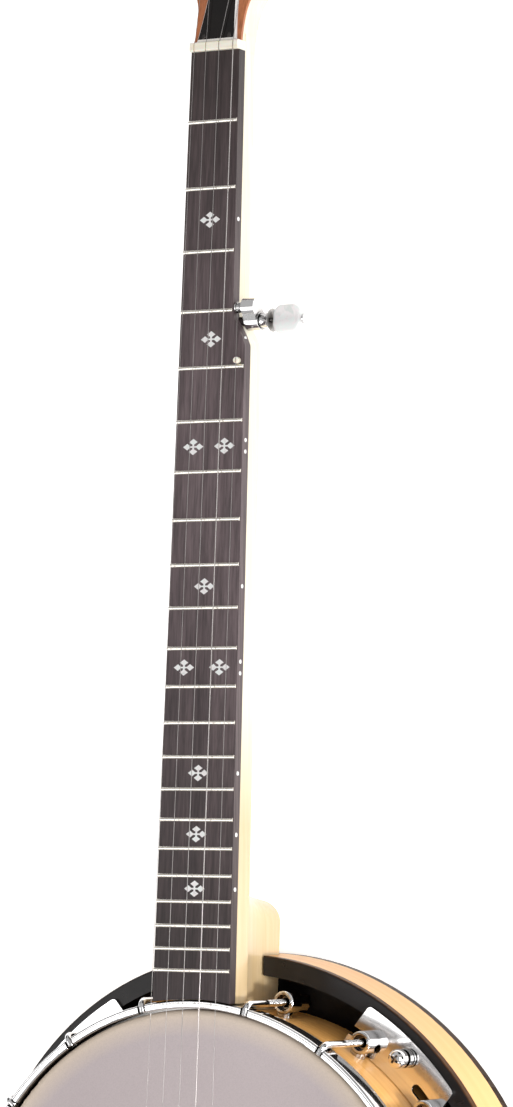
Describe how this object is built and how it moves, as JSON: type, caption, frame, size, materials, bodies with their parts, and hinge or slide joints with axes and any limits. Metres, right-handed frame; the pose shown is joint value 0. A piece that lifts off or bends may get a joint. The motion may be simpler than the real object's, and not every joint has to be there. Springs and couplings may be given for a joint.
{
  "type": "five-string resonator banjo",
  "caption": "Left-handed five-string resonator banjo: frosted drum head, notched chrome hoop with hooks, flange plates, maple neck with dark fingerboard, geared tuners and a hinged tailpiece.",
  "frame": {"origin": "centre of the resonator's flat back face", "axes": "+Z out through the drum head, +Y along the neck towards the peghead, +X towards the fifth-string side"},
  "size_m": [0.3356, 0.9505, 0.0988],
  "materials": {
    "maple": "satin lacquer",
    "rim_maple": "gloss amber lacquer",
    "board_wood": "oiled, dark",
    "veneer_wood": "satin",
    "black_lacquer": "gloss black",
    "dark_binding": "gloss",
    "resonator_maple": "gloss lacquer",
    "chrome_plate": "polished",
    "bell_brass": "polished",
    "steel": "satin",
    "string_steel": "bright",
    "frosted_head": "frosted",
    "bridge_maple": "raw",
    "ebony": "oiled",
    "fret_silver": "polished",
    "bone": "polished",
    "pearl": "pearlescent",
    "black_plastic": "gloss",
    "cast_chrome": "polished"
  },
  "bodies": {
    "banjo": {"bracket_hooks": "chrome_plate", "bracket_shoes": "chrome_plate", "bridge": "bridge_maple", "bridge_cap": "ebony", "coordinator_rod": "steel", "drum_head": "frosted_head", "fifth_peg_case": "chrome_plate", "fifth_string_nut": "bone", "fingerboard": "board_wood", "fingerboard_inlays": "pearl", "flange_plate_1": "chrome_plate", "flange_plate_2": "chrome_plate", "flange_plate_3": "chrome_plate", "flange_plate_4": "chrome_plate", "flesh_hoop": "steel", "frets": "fret_silver", "hanger_bolts": "steel", "hook_nuts": "chrome_plate", "neck": "maple", "nut": "bone", "peghead_veneer": "veneer_wood", "resonator_back": "resonator_maple", "resonator_front_binding": "black_lacquer", "resonator_lugs": "resonator_maple", "resonator_rear_binding": "dark_binding", "resonator_screws": "chrome_plate", "resonator_wall": "resonator_maple", "resonator_washers": "chrome_plate", "rim": "rim_maple", "rod_nuts": "steel", "shoe_bolts": "steel", "string_1": "string_steel", "string_2": "string_steel", "string_3": "string_steel", "string_4": "string_steel", "string_5": "string_steel", "tailpiece_base": "chrome_plate", "tailpiece_bolt": "steel", "tailpiece_hinge_pin": "steel", "tension_hoop": "chrome_plate", "tone_ring": "bell_brass", "truss_cover_screws": "steel", "truss_rod": "steel", "truss_rod_cover": "black_plastic", "tuner_bushings": "chrome_plate", "tuner_cases": "cast_chrome", "tuner_screws": "steel"},
    "tail_lid": {"tailpiece_lid": "chrome_plate"},
    "tail_screw": {"tailpiece_screw": "chrome_plate"},
    "fifth_knob": {"fifth_peg_shaft": "chrome_plate", "fifth_peg_button": "pearl"},
    "fifth_spool": {"fifth_peg_spool": "chrome_plate"},
    "tuner_button_1": {"tuner_button_1": "cast_chrome"},
    "tuner_post_1": {"tuner_post_1": "cast_chrome"},
    "tuner_button_2": {"tuner_button_2": "cast_chrome"},
    "tuner_post_2": {"tuner_post_2": "cast_chrome"},
    "tuner_button_3": {"tuner_button_3": "cast_chrome"},
    "tuner_post_3": {"tuner_post_3": "cast_chrome"},
    "tuner_button_4": {"tuner_button_4": "cast_chrome"},
    "tuner_post_4": {"tuner_post_4": "cast_chrome"}
  },
  "joints": [
    {"name": "button_1_turn", "type": "hinge", "parent": "banjo", "child": "tuner_button_1", "pos_m": [-0.03567, 0.68958, 0.02386], "axis": [-1, 0, 0], "continuous": true},
    {"name": "post_1_turn", "type": "hinge", "parent": "banjo", "child": "tuner_post_1", "pos_m": [-0.02267, 0.6877, 0.04455], "axis": [0, 0.2453, 0.9694], "continuous": true},
    {"name": "button_2_turn", "type": "hinge", "parent": "banjo", "child": "tuner_button_2", "pos_m": [-0.03567, 0.74096, 0.01086], "axis": [-1, 0, 0], "continuous": true},
    {"name": "post_2_turn", "type": "hinge", "parent": "banjo", "child": "tuner_post_2", "pos_m": [-0.02267, 0.73908, 0.03155], "axis": [0, 0.2453, 0.9694], "continuous": true},
    {"name": "button_3_turn", "type": "hinge", "parent": "banjo", "child": "tuner_button_3", "pos_m": [0.02233, 0.74096, 0.01086], "axis": [1, 0, 0], "continuous": true},
    {"name": "post_3_turn", "type": "hinge", "parent": "banjo", "child": "tuner_post_3", "pos_m": [0.00933, 0.73908, 0.03155], "axis": [0, 0.2453, 0.9694], "continuous": true},
    {"name": "button_4_turn", "type": "hinge", "parent": "banjo", "child": "tuner_button_4", "pos_m": [0.02233, 0.68958, 0.02386], "axis": [1, 0, 0], "continuous": true},
    {"name": "post_4_turn", "type": "hinge", "parent": "banjo", "child": "tuner_post_4", "pos_m": [0.00933, 0.6877, 0.04455], "axis": [0, 0.2453, 0.9694], "continuous": true},
    {"name": "fifth_knob_turn", "type": "hinge", "parent": "banjo", "child": "fifth_knob", "pos_m": [0.04003, 0.49617, 0.05835], "axis": [1, 0, 0], "continuous": true},
    {"name": "fifth_spool_turn", "type": "hinge", "parent": "banjo", "child": "fifth_spool", "pos_m": [0.01603, 0.5032, 0.06177], "axis": [1, 0, 0], "continuous": true},
    {"name": "tail_lid_hinge", "type": "hinge", "parent": "banjo", "child": "tail_lid", "pos_m": [0, -0.134, 0.0904], "axis": [1, 0, 0], "range_deg": [0, 110]},
    {"name": "tail_screw_turn", "type": "hinge", "parent": "banjo", "child": "tail_screw", "pos_m": [0, -0.1431, 0.089], "axis": [0, 0, 1], "continuous": true}
  ],
  "couplings": [
    {"joint": "post_1_turn", "follows": "button_1_turn", "ratio": 0.071429},
    {"joint": "post_2_turn", "follows": "button_2_turn", "ratio": 0.071429},
    {"joint": "post_3_turn", "follows": "button_3_turn", "ratio": -0.071429},
    {"joint": "post_4_turn", "follows": "button_4_turn", "ratio": -0.071429},
    {"joint": "fifth_spool_turn", "follows": "fifth_knob_turn", "ratio": -1}
  ]
}
